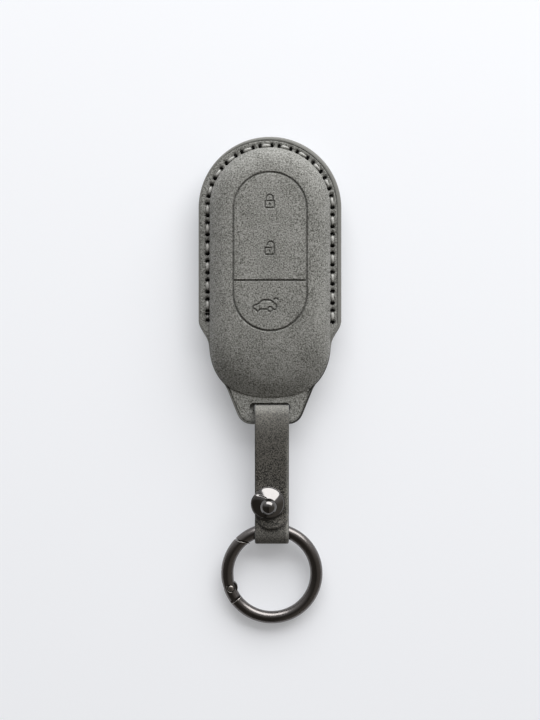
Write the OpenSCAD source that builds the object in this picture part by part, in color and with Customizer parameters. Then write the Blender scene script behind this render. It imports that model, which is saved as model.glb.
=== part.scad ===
// Moulded leather cover for an oval car key, with a strap, a ball stud and a gate ring.
// The origin is the middle of the flat back face. +Y runs towards the round end, +Z out of the front.

/* [Cover] */
// Distance between the centres of the cover's two round ends
spine_l = 41.6; // [34:0.1:50]
// Half width of the moulded bulge
bulge_r = 19.4; // [17:0.1:22]
// Leather outside the foot of the bulge, where it is sewn
margin_w = 3.6; // [3:0.1:5]
// Thickness of the cover's leather
leather_t = 1.6; // [1.2:0.1:2]
// Height of the front bulge above its margin
front_h = 7.5; // [6:0.1:10]
// Depth of the back bulge below its margin
back_h = 4.5; // [3.5:0.1:6]
// Width of the rounded edge of the front bulge
front_round = 6.6; // [5:0.1:7]
// Width of the rounded edge of the back bulge
back_round = 4.4; // [3.5:0.1:6]
// Thickness of the linings
lining_t = 0.5; // [0.3:0.1:0.8]

/* [Seam] */
// Distance from the foot of the bulge to the line of stitches
stitch_out = 0.7; // [0.6:0.05:1]
// Number of stitches that show on the front
stitches = 22; // [12:1:30]
// Length of a stitch between its two holes
stitch_l = 3.8; // [3:0.1:4.2]
// Diameter of a stitch hole
stitch_hole = 1.1; // [1:0.05:1.2]
// Thickness of the thread
thread_d = 0.66; // [0.5:0.02:0.8]

/* [Tab] */
// How far the tab reaches past the bulge
tab_l = 8.65; // [8:0.05:11]
// Half width of the tab where it leaves the bulge
tab_root = 14.3; // [13:0.1:15]
// Half width that the tab's flanks reach at its end, before the corners are rounded
tab_tip = 9.2; // [8.5:0.1:10]
// Radius of the tab's corners
tab_corner = 4.8; // [3:0.1:6]
// Width of the slot
slot_w = 13.2; // [12.4:0.1:14]
// Height of the slot
slot_h = 2.9; // [2.6:0.1:3.4]
// Distance from the tab's end to the middle of the slot
slot_up = 5.5; // [4.5:0.1:6]

/* [Button marks] */
// Half width of the pressed outline of the buttons
outline_r = 11.9; // [10:0.1:12]
// Length of the pressed outline
outline_l = 50.7; // [40:0.1:54]
// Distance from the middle of the bulge up to the middle of the outline
outline_up = 6.2; // [4:0.1:7]
// Width of a pressed groove
groove_w = 0.5; // [0.3:0.05:0.7]
// Depth of a pressed groove
groove_d = 0.3; // [0.15:0.05:0.5]
// Width of the lines of the signs
sign_line = 0.36; // [0.25:0.01:0.5]

/* [Strap] */
// Width of the strap
strap_w = 11; // [9:0.1:12]
// Thickness of the strap
strap_t = 1.3; // [1:0.05:1.5]
// Distance of the strap's centre line to the right of the cover's
strap_x = 0.6; // [0:0.05:0.6]
// Distance from the slots down to the stud
stud_down = 31.6; // [28:0.1:40]
// Distance from the stud down to the middle of the loop
loop_down = 8.8; // [8.8:0.1:12]
// Distance from the middle of the loop back up to the end of the tongue
tongue_short = 1.25; // [0:0.05:2]

/* [Stud] */
// Distance of the stud from the strap's centre line
stud_shift = -1.1; // [-1.5:0.05:0]
// Radius of the ball
ball_r = 2.7; // [2.2:0.05:3]
// Radius of the stud's post
post_r = 1.5; // [1.2:0.05:1.8]
// Radius of the collar's rim
collar_r = 5.2; // [4.4:0.05:5.4]
// Height of the collar
collar_h = 2.4; // [2:0.05:3]
// Radius of the screw's head
screw_head_r = 2.9; // [2.4:0.1:3]
// Radius of the screw's shank
screw_r = 0.95; // [0.8:0.05:1]

/* [Ring] */
// Inside diameter of the ring
ring_inside = 25; // [22:0.5:30]
// Thickness of the ring's wire
wire_d = 4; // [3.6:0.1:4.4]
// Angle round the ring of the gate's pin, from the right hand side
pin_angle = 199; // [190:1:205]
// Radius of the gate's pin
pin_r = 0.95; // [0.7:0.05:1]
// Gap between the gate's nose and the ring's end
nose_gap = 0.5; // [0.4:0.05:0.7]

/* [Hidden] */
$fn = 64;
hole_sides = 20;

// One overrun for all cuts, and one small gap for glued or laid surfaces
cut_over = 0.4;
lay_gap = 0.05;

// Heights: the table is at 0, and the two margins meet at the seam
seam_z = back_h + leather_t;
margin_top = seam_z + leather_t;
front_z = margin_top + front_h;
margin_bottom = back_h;

// Bulge: its outline is round at the top and a fuller power curve at the bottom
end_steps = 20;
profile_steps = 8;
full_power = 2.5;
edge_power = 2.2;
spine_half = spine_l / 2;
margin_r = bulge_r + margin_w;
low_margin = 0.3;
skirt = leather_t / 2;

// Margin: it steps in to the bulge's side below the seam
step_up = 5.1;
step_top = step_up - spine_half;
step_l = 7.6;
step_steps = 8;
tab_end = -(spine_half + bulge_r + tab_l);
corner_steps = 6;
step_foot_angle = 8;
tab_root_angle = acos(pow(tab_root / (bulge_r + low_margin), full_power / 2));
tab_root_y = -spine_half - (bulge_r + low_margin) * pow(sin(tab_root_angle), 2 / full_power);
tab_flank_angle = atan2(tab_root_y - tab_end, tab_root - tab_tip);

// Seam: s is the distance along the stitch line from the top middle, clockwise
stitch_r = bulge_r + stitch_out;
quarter_l = stitch_r * PI / 2;
right_end_up = 4.8;
left_end_up = 8.4;
seam_right = quarter_l + spine_l - right_end_up;
seam_left = left_end_up - quarter_l - spine_l;
stitch_step = (seam_right - seam_left - stitch_l) / (stitches - 1);
lock_gap = 0.9;
lock_l = 2.1;
thread_t = 0.5;

// Pressed marks: heights of the line and the signs, the locks and the car
divider_y = -3;
sign_x = -0.1;
lock_y = 21.05;
unlock_y = 6.25;
lock_w = 3.35;
lock_h = 2.5;
shackle_w = 2.5;
shackle_h = 2;
shackle_shift = 0.3;
shackle_steps = 8;
keyhole_h = 0.8;
car_x = -1.65;
car_y = -11.05;
car_w = 7.5;
car_h = 3.7;
wheel_r = 0.95;
wheel_place_shares = [0.224, -0.289];

// Slot and strap: the strap's bends through the slots, its plies at the stud and its loop
slot_y = tab_end + slot_up;
bend_r = 2.2;
bend_lift = 0.4;
front_bend_z = margin_top + bend_lift;
back_bend_z = margin_bottom - bend_lift;
bend_y = slot_y - bend_r;
ply = strap_t + lay_gap;
stud_x = strap_x + stud_shift;
stud_y = slot_y - stud_down;
stack_half = 5;
stack_y = stud_y + stack_half;
tail_y = stack_y + lay_gap;
back_ply_z = 3.8;
return_ply_z = back_ply_z + ply;
tongue_z = return_ply_z + ply;
strap_top = tongue_z + strap_t / 2;
strap_bottom = back_ply_z - strap_t / 2;
loop_y = stud_y - loop_down;
climb_angle = 31;
drop_angle = 41;
climb_r = 2.2;
drop_r = 2;
ease_steps = 14;
arc_steps = 8;
loop_steps = 30;
post_room = 0.2;

// Ring: its wire has to turn in the loop, so the loop is wider than the wire by the wire's sag
wire_r = wire_d / 2;
ring_r = ring_inside / 2 + wire_r;
loop_room = 0.12;
exit_angle = asin(strap_w / 2 / ring_r);
ring_sag = ring_r - ring_r * cos(exit_angle);
ring_drop = (ring_sag + wire_r / cos(exit_angle) - wire_r) / 2;
loop_in_r = wire_r + ring_drop + loop_room;
loop_mid_r = loop_in_r + strap_t / 2;
loop_out_r = loop_in_r + strap_t;
loop_z = loop_out_r;
ring_tilt = asin((loop_z - wire_r) / (2 * ring_r - ring_drop));
tongue_angle = asin(tongue_short / (loop_mid_r + ply));

// Stud: heights above the strap and below it
collar_left = 0.1;
collar_up = 0.5;
collar_x = stud_x - collar_left;
collar_y = stud_y + collar_up;
collar_foot = 3.1;
rim_z = 0.95;
rim_t = 0.35;
peak_r = 2.1;
lip_out = 0.45;
lip_r = collar_r + lip_out;
lip_t = 0.5;
lip_start = 142;
lip_turn = 104;
running = 0.05;
ball_up = 2.25;
ball_z = strap_top + collar_h + ball_up;
shoulder_h = 0.4;
post_short = 0.3;
post_end = strap_bottom + post_short;
screw_head_h = 0.9;
screw_slot_w = 0.8;
screw_slot_d = 0.45;
screw_short = 0.9;
screw_tip = strap_top - screw_short;
screw_base = strap_bottom - screw_head_h;
blind_room = 0.4;
blind_end = screw_tip + blind_room;

// Gate: the hinge's tongue, fork and tail, and the nose's wavy lap
pin_in = 0.45;
pin_ring_r = ring_r - pin_in;
knuckle_r = 2.15;
knuckle_t = 1.6;
fork_t = knuckle_t + 2 * lay_gap;
fork_room = 0.25;
tail_angle = 213.6;
shoulder_angle = 216.8;
body_end = 136;
nose_end = 118;
wide_turn = 20;
nose_shares = [[137.2, 1.5], [136.4, 1.17], [134, 0.82], [132.8, 0.45], [130.9, 0.17], [129, -0.13],
    [127.3, -0.43], [124.6, -0.9], [122.5, -1.26], [121.5, -1.5]];
rivet_sink = 0.15;
rivet_room = 0.3;
rivet_dome = 0.3;
spring_r = 0.75;
spring_wire = 0.3;
spring_curls = 5;
spring_l = 4.2;
spring_room = 0.1;
spring_bore = spring_r + spring_wire / 2 + spring_room;
spring_seat = knuckle_r + lay_gap;
curl_rings = 8;
tube_sides = 6;

function arc(c, r, from, to, n) =
    [for (i = [0:n]) let (a = from + (to - from) * i / n) [c[0] + r * cos(a), c[1] + r * sin(a)]];

function ease(t) = t * t * (3 - 2 * t);

// Half of the lower end, from the right hand side down to the bottom middle
function full_end(r, from, to, n) = [for (i = [0:n]) let (a = from + (to - from) * i / n)
    [r * pow(cos(a), 2 / full_power), -spine_half - r * pow(sin(a), 2 / full_power)]];

function flip_x(points) = [for (i = [len(points) - 1:-1:0]) [-points[i][0], points[i][1]]];

// Closed outline of the bulge at half width r
function bulge_outline(r) = let (low = full_end(r, 0, 90, end_steps / 2))
    concat(arc([0, spine_half], r, 180, 0, end_steps), low, [for (p = flip_x(low)) if (p[0] < 0) p]);

// Right hand side of the margin, from the top middle to the tab's end
function margin_side() = concat(
    arc([0, spine_half], margin_r, 90, 0, end_steps),
    [for (i = [0:step_steps]) let (t = i / step_steps)
        [margin_r - (margin_w - low_margin) * ease(t), step_top - step_l * t]],
    full_end(bulge_r + low_margin, step_foot_angle, tab_root_angle, step_steps),
    tab_corner_points());

function tab_corner_points() =
    arc([tab_tip - tab_corner * tan(tab_flank_angle / 2), tab_end + tab_corner],
        tab_corner, tab_flank_angle - 90, -90, corner_steps);

// Point on the stitch line at distance s, and the way along it there
function seam_point(s) = let (a = 90 - min(abs(s), quarter_l) / stitch_r * 180 / PI,
        down = max(abs(s) - quarter_l, 0), side = s < 0 ? -1 : 1)
    [side * stitch_r * cos(a), spine_half + stitch_r * sin(a) - down];

stitch_ends = concat(
    [for (i = [0:stitches - 1]) let (s = seam_left + i * stitch_step) [s, s + stitch_l]],
    [[seam_left - lock_gap - lock_l, seam_left - lock_gap]]);

module margin_2d() {
    side = margin_side();
    polygon(concat(side, flip_x(side)));
}

// Solid bulge on the plane z = 0, of half width r, with a skirt below and a flat top at height h
module bulge(r, rounded, h, below) {
    n = len(bulge_outline(r));
    rings = concat([[0, -below]], [for (i = [0:profile_steps]) let (a = 90 * i / profile_steps)
        [rounded * (1 - pow(cos(a), 2 / edge_power)), h * pow(sin(a), 2 / edge_power)]]);
    points = [for (ring = rings) for (p = bulge_outline(r - ring[0])) [p[0], p[1], ring[1]]];
    last = len(rings) - 1;
    sides = [for (j = [0:last - 1]) for (i = [0:n - 1]) let (k = (i + 1) % n)
        [j * n + i, j * n + k, (j + 1) * n + k, (j + 1) * n + i]];
    polyhedron(points, concat([[for (i = [n - 1:-1:0]) i]], sides, [[for (i = [0:n - 1]) last * n + i]]),
        convexity = 4);
}

module stitch_holes() {
    for (ends = stitch_ends, s = ends)
        translate([seam_point(s)[0], seam_point(s)[1], margin_bottom - cut_over])
            cylinder(d = stitch_hole, h = 2 * leather_t + 2 * cut_over, $fn = hole_sides);
}

module slot() {
    translate([0, slot_y, margin_bottom - cut_over])
        linear_extrude(2 * leather_t + 2 * cut_over) {
            square([slot_w - slot_h, slot_h], center = true);
            for (side = [-1, 1]) translate([side * (slot_w - slot_h) / 2, 0]) circle(d = slot_h);
        }
}

module front_shell() {
    color("dimgray") difference() {
        union() {
            translate([0, 0, seam_z]) linear_extrude(leather_t) margin_2d();
            translate([0, 0, margin_top]) bulge(bulge_r, front_round, front_h, skirt);
        }
        translate([0, 0, seam_z]) bulge(bulge_r - leather_t, front_round - leather_t, front_h, cut_over);
        stitch_holes();
        slot();
        translate([0, 0, front_z - groove_d]) linear_extrude(groove_d + cut_over) button_marks();
    }
}

module back_shell() {
    color("dimgray") difference() {
        union() {
            translate([0, 0, margin_bottom]) linear_extrude(leather_t) margin_2d();
            translate([0, 0, margin_bottom]) mirror([0, 0, 1]) bulge(bulge_r, back_round, back_h, skirt);
        }
        translate([0, 0, seam_z]) mirror([0, 0, 1])
            bulge(bulge_r - leather_t, back_round - leather_t, back_h, cut_over);
        stitch_holes();
        slot();
    }
}

// Thin lining of a hollow of half width r, on the plane z = 0
module lining(rounded, h) {
    outer_r = bulge_r - leather_t - lay_gap;
    outer_round = rounded - leather_t - lay_gap;
    difference() {
        bulge(outer_r, outer_round, h - lay_gap, 0);
        bulge(outer_r - lining_t, outer_round - lining_t, h - lay_gap - lining_t, cut_over);
    }
}

module front_lining() {
    color("black") translate([0, 0, seam_z]) lining(front_round, front_h);
}

module back_lining() {
    color("black") translate([0, 0, seam_z]) mirror([0, 0, 1]) lining(back_round, back_h);
}

// Pressed marks: the outline, the line across it and the three signs
module button_marks() {
    difference() {
        stadium(outline_r, outline_l);
        stadium(outline_r - groove_w, outline_l - 2 * groove_w);
    }
    translate([0, divider_y]) square([2 * outline_r - groove_w, groove_w], center = true);
    translate([sign_x, lock_y]) lock_sign();
    translate([sign_x, unlock_y]) open_lock_sign();
    translate([car_x, car_y]) car_sign();
}

module stadium(r, l) {
    translate([0, outline_up]) {
        square([2 * r, l - 2 * r], center = true);
        for (end = [-1, 1]) translate([0, end * (l / 2 - r)]) circle(r);
    }
}

// Line of the signs' width through a list of points
module stroke(points) {
    for (i = [0:len(points) - 2]) {
        way = points[i + 1] - points[i];
        translate(points[i]) rotate(atan2(way[1], way[0]))
            translate([-sign_line / 2, -sign_line / 2]) square([norm(way) + sign_line, sign_line]);
    }
}

// Outlines of the locks' bodies and of the car, in shares of their widths and heights
lock_shares = [[-0.46, 0.5], [-0.5, -0.3], [-0.44, -0.5], [0.44, -0.5], [0.5, -0.3], [0.46, 0.5],
    [-0.46, 0.5]];
open_lock_shares = [[0.2, 0.5], [-0.48, 0.5], [-0.5, -0.3], [-0.44, -0.5], [0.44, -0.5], [0.5, -0.3],
    [0.46, 0.1]];
car_shares = [[0.364, -0.273], [0.409, -0.349], [0.477, -0.257], [0.499, -0.076], [0.477, 0.095],
    [0.401, 0.205], [0.347, 0.335], [0.271, 0.446], [0.111, 0.497], [-0.029, 0.497], [-0.125, 0.446],
    [-0.201, 0.292], [-0.244, 0.181], [-0.353, 0.095], [-0.437, 0.051], [-0.493, -0.06], [-0.497, -0.146],
    [-0.459, -0.257], [-0.408, -0.265], [-0.361, -0.384], [-0.303, -0.495], [-0.256, -0.427],
    [-0.215, -0.289], [0.111, -0.297]];
lid_shares = [[0.389, 0.538], [0.431, 0.632], [0.481, 0.651], [0.528, 0.608], [0.549, 0.557]];

function scaled(shares, w, h) = [for (p = shares) [p[0] * w, p[1] * h]];

shackle_r = (shackle_w - sign_line) / 2;
crown_y = lock_h / 2 + shackle_h - shackle_w / 2;

module lock_sign() {
    stroke(scaled(lock_shares, lock_w - sign_line, lock_h - sign_line));
    stroke(concat([[-shackle_r, lock_h / 2]], arc([0, crown_y], shackle_r, 180, 0, shackle_steps),
        [[shackle_r, lock_h / 2]]));
    square([sign_line, keyhole_h], center = true);
}

// Open lock: the shackle has moved aside and only its right leg is in the body
module open_lock_sign() {
    stroke(scaled(open_lock_shares, lock_w - sign_line, lock_h - sign_line));
    stroke(concat(arc([shackle_shift, crown_y], shackle_r, 180, 0, shackle_steps),
        [[(lock_w - sign_line) / 2, 0]]));
    square([sign_line, keyhole_h], center = true);
}

// Side view of a car with its boot lid up
module car_sign() {
    stroke(scaled(car_shares, car_w, car_h));
    stroke(scaled(lid_shares, car_w, car_h));
    translate([wheel_place_shares[0] * car_w, wheel_place_shares[1] * car_h]) difference() {
        circle(wheel_r);
        circle(wheel_r - sign_line);
    }
}

// One thread: bars on the front and back faces, joined through the holes
module seam_thread() {
    holes = concat(stitch_ends[stitches], [for (i = [0:stitches - 1]) for (s = stitch_ends[i]) s]);
    color("lightgray") {
        for (i = [0:len(holes) - 2]) {
            a = seam_point(holes[i]);
            b = seam_point(holes[i + 1]);
            z = i % 2 == 0 ? margin_top : margin_bottom - thread_t;
            translate([(a[0] + b[0]) / 2, (a[1] + b[1]) / 2, z + thread_t / 2])
                rotate(atan2(b[1] - a[1], b[0] - a[0]))
                    cube([norm(b - a) + thread_d, thread_d, thread_t], center = true);
        }
        for (s = holes)
            translate([seam_point(s)[0], seam_point(s)[1], margin_bottom - thread_t / 2])
                cylinder(d = thread_d - lay_gap, h = 2 * leather_t + thread_t, $fn = hole_sides);
    }
}

// The strap's middle line, as points down from the slots and up from the table
loop_mid = [-loop_y, loop_z];

// Rise of a ply from the stack on to the loop, whose middle line lies out from the return ply's
function climb(out, level, to) = let (r = loop_mid_r + out,
        touch = [loop_mid[0] - r * sin(climb_angle), loop_mid[1] + r * cos(climb_angle)],
        foot = touch[0] - (touch[1] - level) / tan(climb_angle) - (climb_r - out) * tan(climb_angle / 2))
    concat(arc([foot, level + climb_r - out], climb_r - out, -90, climb_angle - 90, arc_steps),
        arc(loop_mid, r, 90 + climb_angle, 90 + to, arc_steps));

function drop(level) = let (r = loop_mid_r,
        touch = [loop_mid[0] - r * sin(drop_angle), loop_mid[1] - r * cos(drop_angle)],
        foot = touch[0] - (level - touch[1]) / tan(drop_angle) - drop_r * tan(drop_angle / 2))
    concat(arc([foot, level - drop_r], drop_r, 90, 90 - drop_angle, arc_steps),
        arc(loop_mid, r, 270 - drop_angle, 450, loop_steps));

function run(from, to) = [for (i = [1:ease_steps]) let (t = i / ease_steps)
    [from[0] + (to[0] - from[0]) * t, from[1] + (to[1] - from[1]) * ease(t)]];

function reversed(points) = [for (i = [len(points) - 1:-1:0]) points[i]];

front_run = concat(arc([-bend_y, front_bend_z], bend_r, 180, 90, arc_steps),
    run([-bend_y, front_bend_z + bend_r], [-stack_y, tongue_z]), climb(ply, tongue_z, tongue_angle));
back_run = concat(arc([-bend_y, back_bend_z], bend_r, 180, 270, arc_steps),
    run([-bend_y, back_bend_z - bend_r], [-stack_y, back_ply_z]), drop(back_ply_z));
return_run = concat([for (p = reversed(climb(0, return_ply_z, 0))) if (p[0] < loop_mid[0] - lay_gap) p],
    [[-tail_y, return_ply_z]]);
strap_line = concat(reversed(front_run), back_run, return_run);

function heading(points, i) = let (a = points[max(i - 1, 0)], b = points[min(i + 1, len(points) - 1)])
    (b - a) / norm(b - a);

function beside(points, out) = [for (i = [0:len(points) - 1]) let (way = heading(points, i))
    points[i] + out * [-way[1], way[0]]];

// Flat band in the plane across the strap, pulled out to the strap's width
module across(points, width) {
    translate([strap_x, 0, 0]) rotate([90, 0, 90])
        linear_extrude(width, center = true) polygon([for (p = points) [-p[0], p[1]]]);
}

module strap() {
    tongue_edge = beside(climb(ply, tongue_z, 0), -ply / 2);
    round_y = loop_y + tongue_short + strap_w / 2;
    over_loop = loop_z + loop_mid_r + 2 * ply;
    color("dimgray") difference() {
        across(concat(beside(strap_line, strap_t / 2), reversed(beside(strap_line, -strap_t / 2))),
            strap_w);
        translate([stud_x, stud_y, strap_bottom - cut_over])
            cylinder(r = post_r + post_room, h = strap_top - strap_bottom + 2 * cut_over);
        difference() {
            across(concat([[-round_y, tongue_edge[0][1]]], tongue_edge,
                [[-loop_y, over_loop], [-round_y, over_loop]]), strap_w + 2 * cut_over);
            translate([strap_x, round_y, 0]) cylinder(d = strap_w, h = over_loop + cut_over);
        }
    }
}

// Flared collar: a low cone on a foot, with a second lip laid over a part of it
module stud_collar() {
    color("dimgray") translate([0, 0, strap_top]) difference() {
        translate([collar_x, collar_y, 0]) {
            rotate_extrude() polygon([[0, 0], [collar_foot, 0],
                [collar_r - rim_t / 2, rim_z - rim_t / 2], [collar_r, rim_z],
                [collar_r - rim_t / 2, rim_z + rim_t / 2], [peak_r, collar_h], [0, collar_h]]);
            rotate(lip_start) rotate_extrude(angle = lip_turn) polygon([[peak_r, collar_h - lip_t],
                [collar_foot, collar_h - 2 * lip_t], [lip_r, rim_z], [lip_r, rim_z + rim_t],
                [collar_r, rim_z + lip_t + rim_t / 2], [peak_r + lay_gap, collar_h]]);
        }
        translate([stud_x, stud_y, -cut_over]) cylinder(r = post_r + running, h = collar_h + 2 * cut_over);
    }
}

module stud_ball() {
    color("dimgray") translate([stud_x, stud_y, 0]) difference() {
        union() {
            translate([0, 0, ball_z]) sphere(ball_r);
            translate([0, 0, post_end]) cylinder(r = post_r, h = ball_z - post_end);
            translate([0, 0, strap_top + collar_h]) cylinder(r = peak_r, h = shoulder_h);
        }
        translate([0, 0, post_end - cut_over])
            cylinder(r = screw_r + running, h = blind_end - post_end + cut_over);
    }
}

module stud_screw() {
    color("dimgray") translate([stud_x, stud_y, 0]) difference() {
        union() {
            translate([0, 0, screw_base]) cylinder(r = screw_head_r, h = screw_head_h);
            translate([0, 0, screw_base]) cylinder(r = screw_r, h = screw_tip - screw_base);
        }
        translate([0, 0, screw_base])
            cube([2 * screw_head_r + cut_over, screw_slot_w, 2 * screw_slot_d], center = true);
    }
}

// Puts what is drawn round the ring's own centre where the ring hangs in the loop
module ring_place() {
    translate([strap_x, loop_y, loop_z]) rotate([ring_tilt, 0, 0])
        translate([0, ring_drop - ring_r, 0]) children();
}

function on_ring(r, a) = [r * cos(a), r * sin(a)];

pin_at = on_ring(pin_ring_r, pin_angle);

module wire(from, to) {
    rotate(from) rotate_extrude(angle = to - from) translate([ring_r, 0]) circle(wire_r);
}

// The lap's line across the wire, moved in by a gap
function lap(gap) = [for (s = nose_shares) on_ring(ring_r + s[1] * wire_r, s[0]) - [0, gap]];

module cut_through(points) {
    translate([0, 0, -wire_d]) linear_extrude(2 * wire_d) polygon(points);
}

module knuckle(r, t) {
    translate([pin_at[0], pin_at[1], -t / 2]) cylinder(r = r, h = t);
}

// Block across the wire at the pin, between two distances along the ring
module at_pin(from, to, t) {
    rotate(pin_angle) translate([ring_r - 2 * wire_r, from, -t / 2]) cube([4 * wire_r, to - from, t]);
}

module ring_body() {
    color("dimgray") ring_place() difference() {
        union() {
            difference() {
                wire(pin_angle - 360, body_end);
                cut_through(concat(lap(0), [on_ring(ring_r - 3 * wire_r, body_end),
                    on_ring(ring_r + 3 * wire_r, body_end + wide_turn)]));
                for (face = [0, 1]) mirror([0, 0, face]) translate([0, 0, knuckle_t / 2])
                    linear_extrude(wire_d) polygon([[0, 0], on_ring(2 * ring_r, pin_angle - wide_turn),
                        on_ring(2 * ring_r, pin_angle), on_ring(2 * ring_r, shoulder_angle)]);
            }
            knuckle(knuckle_r, knuckle_t);
        }
        knuckle(pin_r + running, wire_d);
    }
}

module ring_gate() {
    color("dimgray") ring_place() difference() {
        intersection() {
            wire(nose_end, tail_angle);
            cut_through(concat(lap(nose_gap), [on_ring(ring_r - 2 * wire_r, nose_end), [0, 0],
                on_ring(2 * ring_r, shoulder_angle + wide_turn), on_ring(2 * ring_r, pin_angle),
                on_ring(ring_r + 3 * wire_r, body_end)]));
        }
        at_pin(-knuckle_r - fork_room, ring_r, fork_t);
        knuckle(pin_r, 2 * wire_d);
        for (face = [0, 1]) mirror([0, 0, face]) translate([pin_at[0], pin_at[1], wire_r - rivet_sink])
            cylinder(r = pin_r + rivet_room, h = wire_r);
        spring_place() cylinder(r = spring_bore, h = spring_l + fork_room);
    }
}

// Rivet with a low dome at each end
module gate_pin() {
    dome_r = (pin_r * pin_r + rivet_dome * rivet_dome) / (2 * rivet_dome);
    color("gray") ring_place() translate([pin_at[0], pin_at[1], 0]) {
        cylinder(r = pin_r, h = wire_d - 2 * rivet_sink, center = true);
        for (face = [0, 1]) mirror([0, 0, face]) translate([0, 0, wire_r - rivet_sink]) intersection() {
            translate([0, 0, rivet_dome - dome_r]) sphere(dome_r);
            cylinder(r = pin_r, h = rivet_dome + cut_over);
        }
    }
}

// Along the gate from the edge of the hinge's tongue
module spring_place() {
    rotate(pin_angle) translate([ring_r, -spring_seat, 0]) rotate([90, 0, 0]) children();
}

// Middle line of the spring's wire
spring_steps = spring_curls * curl_rings;
spring_line = [for (i = [0:spring_steps]) let (a = 360 * i / curl_rings)
    [spring_r * cos(a), spring_r * sin(a), spring_wire + (spring_l - 2 * spring_wire) * i / spring_steps]];
spring_gaps = [for (i = [0:spring_steps]) for (j = [i + curl_rings / 2:spring_steps])
    if (j <= spring_steps) norm(spring_line[j] - spring_line[i]) - spring_wire];
echo(least_spring_gap = min(spring_gaps));

// Coil spring as one unbroken tube
module gate_spring() {
    points = [for (i = [0:spring_steps]) let (a = 360 * i / curl_rings) for (k = [0:tube_sides - 1])
        let (b = 360 * k / tube_sides)
        spring_line[i] + spring_wire / 2 * (cos(b) * [cos(a), sin(a), 0] + sin(b) * [0, 0, 1])];
    sides = [for (i = [0:spring_steps - 1]) for (k = [0:tube_sides - 1]) let (m = (k + 1) % tube_sides,
            a = i * tube_sides, b = a + tube_sides)
        each [[a + k, a + m, b + m], [a + k, b + m, b + k]]];
    caps = [[for (k = [tube_sides - 1:-1:0]) k],
        [for (k = [0:tube_sides - 1]) spring_steps * tube_sides + k]];
    color("silver") ring_place() spring_place() polyhedron(points, concat(sides, caps), convexity = 10);
}

front_shell();
back_shell();
front_lining();
back_lining();
seam_thread();
strap();
stud_collar();
stud_ball();
stud_screw();
ring_body();
ring_gate();
gate_pin();
gate_spring();
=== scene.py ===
# %% [markdown]
# # A moulded leather key cover with a strap, a ball stud and a gate ring
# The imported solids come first. They carry the sizes and the motions, so each dressed piece goes where they are.
# Lengths in this lesson are written in millimetres and turned to metres where a mesh is made.

# %% Load the frame
from math import acos, asin, atan2, cos, pi, radians, sin, sqrt, tan

import bmesh
import bpy
import numpy as np
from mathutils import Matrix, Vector, noise


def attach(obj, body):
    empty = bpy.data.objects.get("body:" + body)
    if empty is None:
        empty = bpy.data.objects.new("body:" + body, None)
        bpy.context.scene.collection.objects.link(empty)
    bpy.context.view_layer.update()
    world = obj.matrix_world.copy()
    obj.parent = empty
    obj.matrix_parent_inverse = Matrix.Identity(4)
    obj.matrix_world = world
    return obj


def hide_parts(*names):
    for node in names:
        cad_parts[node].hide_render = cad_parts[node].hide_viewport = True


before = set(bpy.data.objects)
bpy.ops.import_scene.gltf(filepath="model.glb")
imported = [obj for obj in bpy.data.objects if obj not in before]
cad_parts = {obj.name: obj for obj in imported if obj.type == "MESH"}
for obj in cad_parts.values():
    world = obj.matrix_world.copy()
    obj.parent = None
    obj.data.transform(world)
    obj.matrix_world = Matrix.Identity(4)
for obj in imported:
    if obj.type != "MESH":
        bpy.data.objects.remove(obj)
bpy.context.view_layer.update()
mm = 0.001

# %% [markdown]
# ## The camera
# The photograph looks straight down on the table. A lens a little longer than normal keeps the ring and the cover's
# round end in the right proportion, because the ring lies lower than the cover's face.

# %% Camera
eye_height = 420
eye_y = -28.16
pixels_per_radian = 1281
photo_height = 720
clip_range = 0.01, 100  # metres, so that the table is seen as far as it goes
bpy.ops.object.camera_add(location=(0, eye_y * mm, eye_height * mm), rotation=(0, 0, 0))
camera = bpy.context.object
camera.name = "camera"
camera.data.lens = camera.data.sensor_width * pixels_per_radian / photo_height
camera.data.clip_start, camera.data.clip_end = clip_range
bpy.context.scene.camera = camera
print("lens", round(camera.data.lens, 2), "mm")

# %% [markdown]
# ## Table and light
# The table is a plain pale sheet. A wide low lamp stands behind the round end and a little to the right, which is
# where the photograph's highlights come from. The world glows behind as well, softly from the right and faintly from
# the left, so that the metal has something to reflect. It is dim overhead and in front.

# %% Small tools
def linear(hex_colour):
    """Turns an sRGB colour such as 8a8d86 into the linear values that Blender's sockets take."""
    parts = [int(hex_colour[i:i + 2], 16) / 255 for i in (0, 2, 4)]
    return [p / 12.92 if p <= 0.04045 else ((p + 0.055) / 1.055) ** 2.4 for p in parts] + [1.0]


def plug(node, sockets):
    """Fills a node's sockets. A pair of another node and its output is linked, and any other value is set."""
    for name, value in sockets.items():
        if isinstance(value, tuple):
            node.id_data.links.new(value[0].outputs[value[1]], node.inputs[name])
        else:
            node.inputs[name].default_value = value


def add_node(tree, kind, sockets=None, stops=(), **settings):
    """Adds a node, sets its options and its ramp's stops, and fills its sockets."""
    node = tree.nodes.new("ShaderNode" + kind)
    for name, value in settings.items():
        setattr(node, name, value)
    while stops and len(node.color_ramp.elements) < len(stops):
        node.color_ramp.elements.new(1.0)
    for i, (place, colour) in enumerate(stops):
        node.color_ramp.elements[i].position = place
        node.color_ramp.elements[i].color = colour
    plug(node, sockets or {})
    return node


def new_finish(name):
    """A material with only its principled shader and output."""
    finish = bpy.data.materials.new(name)
    finish.use_nodes = True
    tree = finish.node_tree
    return finish, tree, tree.nodes["Principled BSDF"]


def only(piece):
    """Makes this piece the only selected one and the active one."""
    bpy.ops.object.select_all(action="DESELECT")
    piece.select_set(True)
    bpy.context.view_layer.objects.active = piece


print("linear mid grey", round(linear("808080")[0], 3))

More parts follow.
